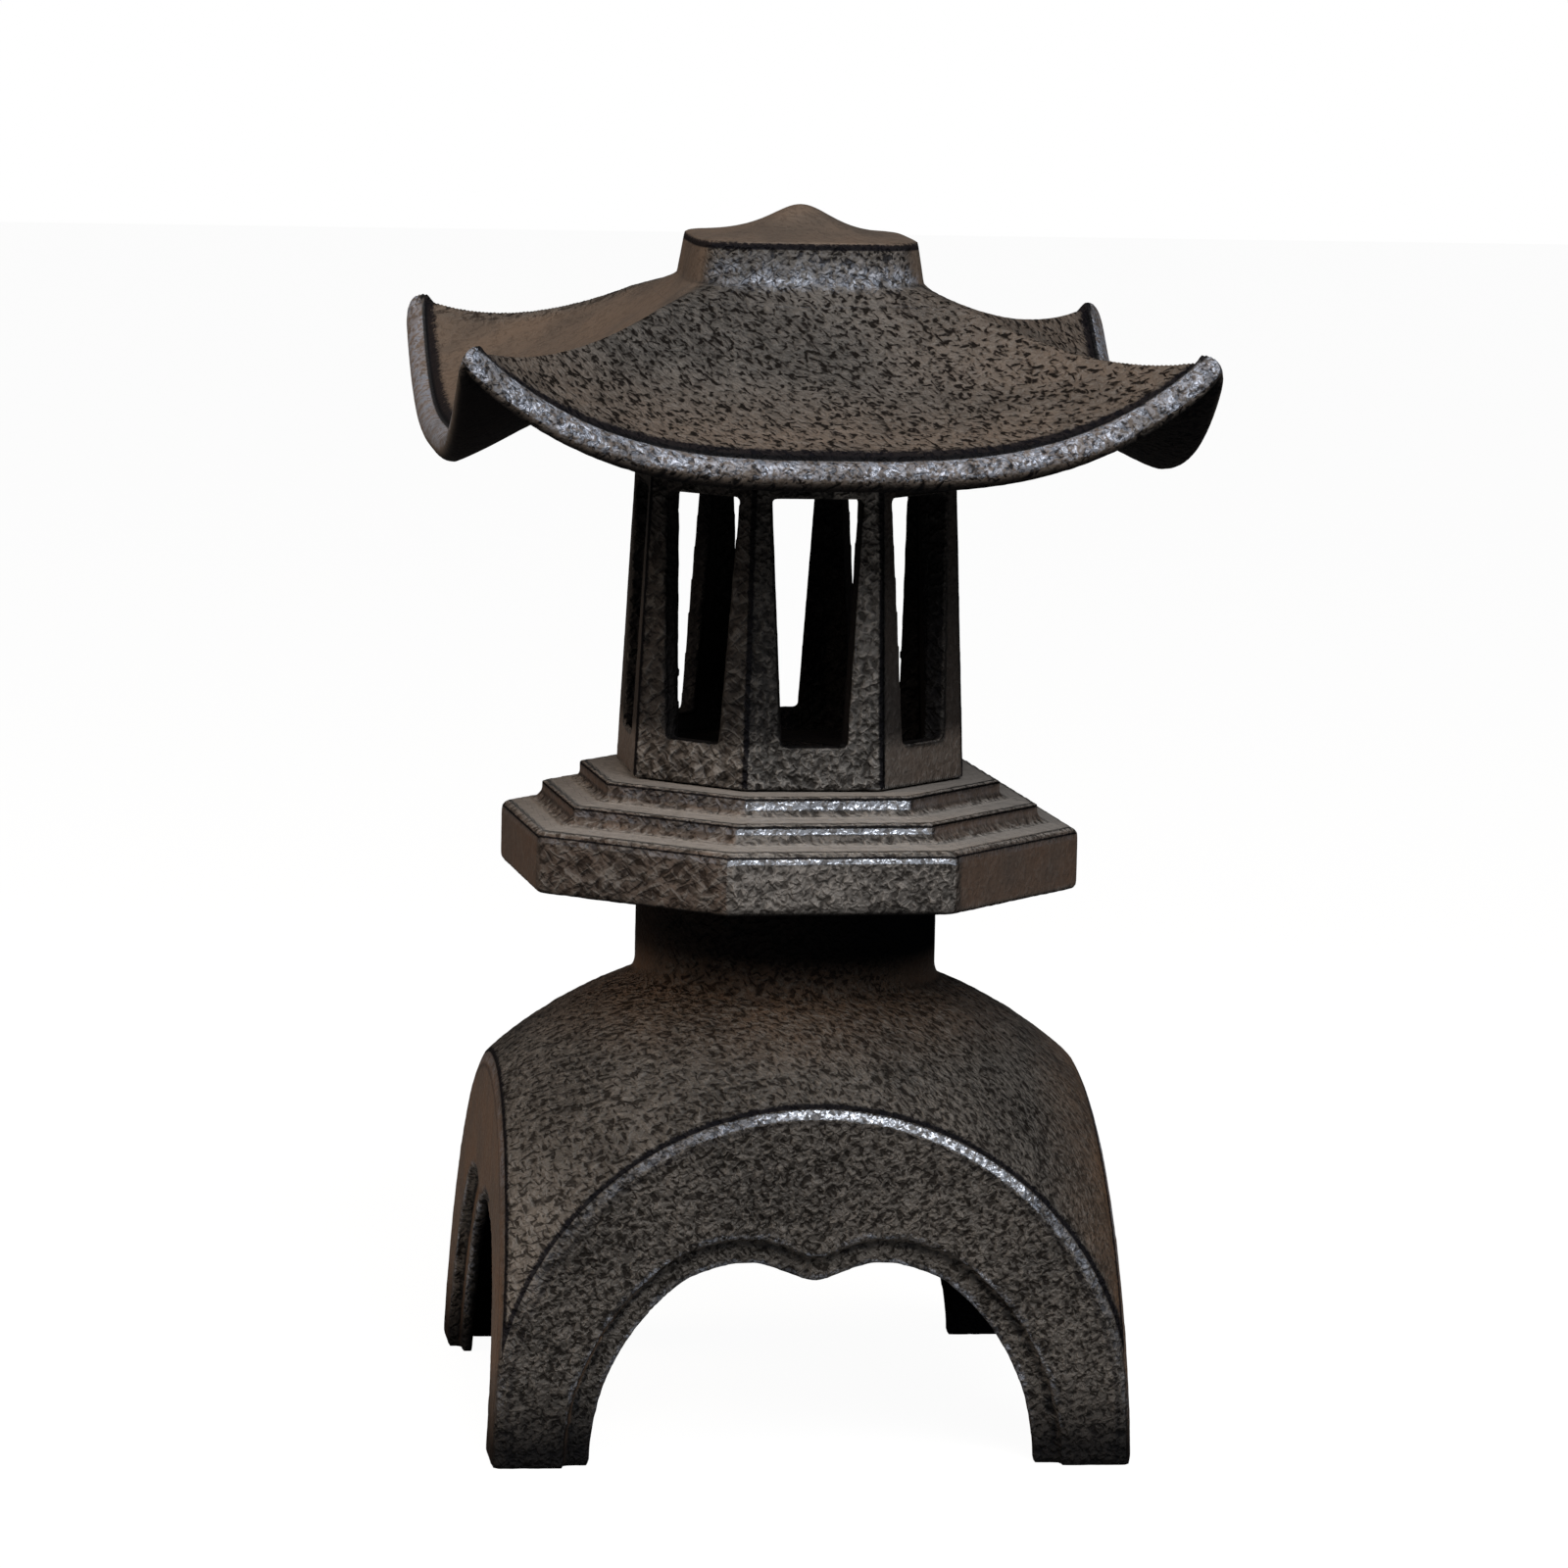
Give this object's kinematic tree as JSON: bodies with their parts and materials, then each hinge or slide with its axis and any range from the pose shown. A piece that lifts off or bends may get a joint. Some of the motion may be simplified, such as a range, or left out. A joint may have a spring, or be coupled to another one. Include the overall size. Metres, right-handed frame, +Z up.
{
  "type": "garden lantern",
  "caption": "Cast iron garden lantern with an arched four-footed base, an octagonal stepped deck, a windowed fire box and a lift-off roof with upturned corners.",
  "frame": {"origin": "on the ground, below the middle of the lantern", "axes": "+Z up, -Y towards the front arch, +X to the right as seen from the front"},
  "size_m": [0.1514, 0.1514, 0.25],
  "materials": {
    "base_iron": "dark brown-black patina, sand-cast grain, semi-gloss with worn edges",
    "deck_iron": "dark brown-black patina, sand-cast grain, semi-gloss with worn edges",
    "fire_box_iron": "dark brown-black patina, sand-cast grain, semi-gloss with worn edges",
    "roof_iron": "dark brown-black patina, sand-cast grain, semi-gloss with worn edges",
    "fastening_steel": "dull zinc-plated steel"
  },
  "bodies": {
    "stand": {"base": "base_iron", "deck": "deck_iron", "fire_box": "fire_box_iron", "tie_bolt": "fastening_steel", "tie_nut": "fastening_steel", "head_washer": "fastening_steel", "nut_washer": "fastening_steel"},
    "roof": {"roof": "roof_iron"}
  },
  "joints": [
    {"name": "roof_lift", "type": "slide", "parent": "stand", "child": "roof", "axis": [0, 0, 1], "range_m": [0, 0.12]}
  ]
}
